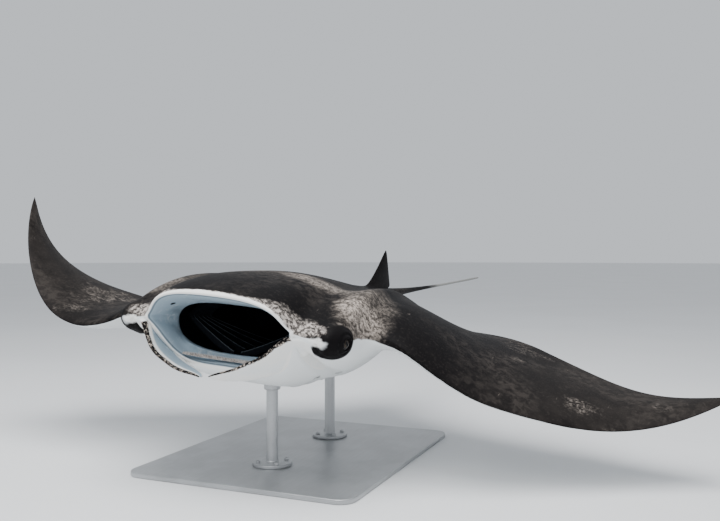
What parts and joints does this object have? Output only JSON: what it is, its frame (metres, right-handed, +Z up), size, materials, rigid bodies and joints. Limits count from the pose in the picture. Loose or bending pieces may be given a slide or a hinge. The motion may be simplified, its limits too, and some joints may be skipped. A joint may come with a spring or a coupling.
{
  "type": "reef manta ray on a display stand",
  "caption": "Life-size still model of a reef manta ray feeding with its mouth wide open and one wing raised, held over a flat base by rods.",
  "frame": {"origin": "middle of the stand base's underside, on the floor", "axes": "+Z up; the animal's head faces -Y and its left side is +X"},
  "size_m": [2.9766, 3.1361, 1.0826],
  "materials": {
    "back_skin": "damp, rough, very dark brown skin of the back, white below",
    "belly_skin": "smooth white skin of the lips, mouth and belly",
    "lobe_skin": "speckled grey-brown skin outside, white inside",
    "teeth": "rows of tiny pale cusps on grey gum",
    "eye": "wet gloss",
    "stand_steel": "satin"
  },
  "bodies": {
    "root": {"head": "back_skin", "lower_jaw": "belly_skin", "trunk": "back_skin", "wing_left_inner": "back_skin", "wing_left_middle": "back_skin", "wing_left_tip": "back_skin", "wing_right_inner": "back_skin", "wing_right_middle": "back_skin", "wing_right_tip": "back_skin", "cephalic_lobe_left": "lobe_skin", "cephalic_lobe_right": "lobe_skin", "tooth_band": "teeth", "eye_left": "eye", "eye_right": "eye", "dorsal_fin": "back_skin", "pelvic_fin_left": "back_skin", "pelvic_fin_right": "back_skin", "tail_base": "back_skin", "tail_middle": "back_skin", "tail_tip": "back_skin", "stand_base": "stand_steel", "stand_rod_front": "stand_steel", "stand_rod_rear": "stand_steel"}
  },
  "joints": []
}
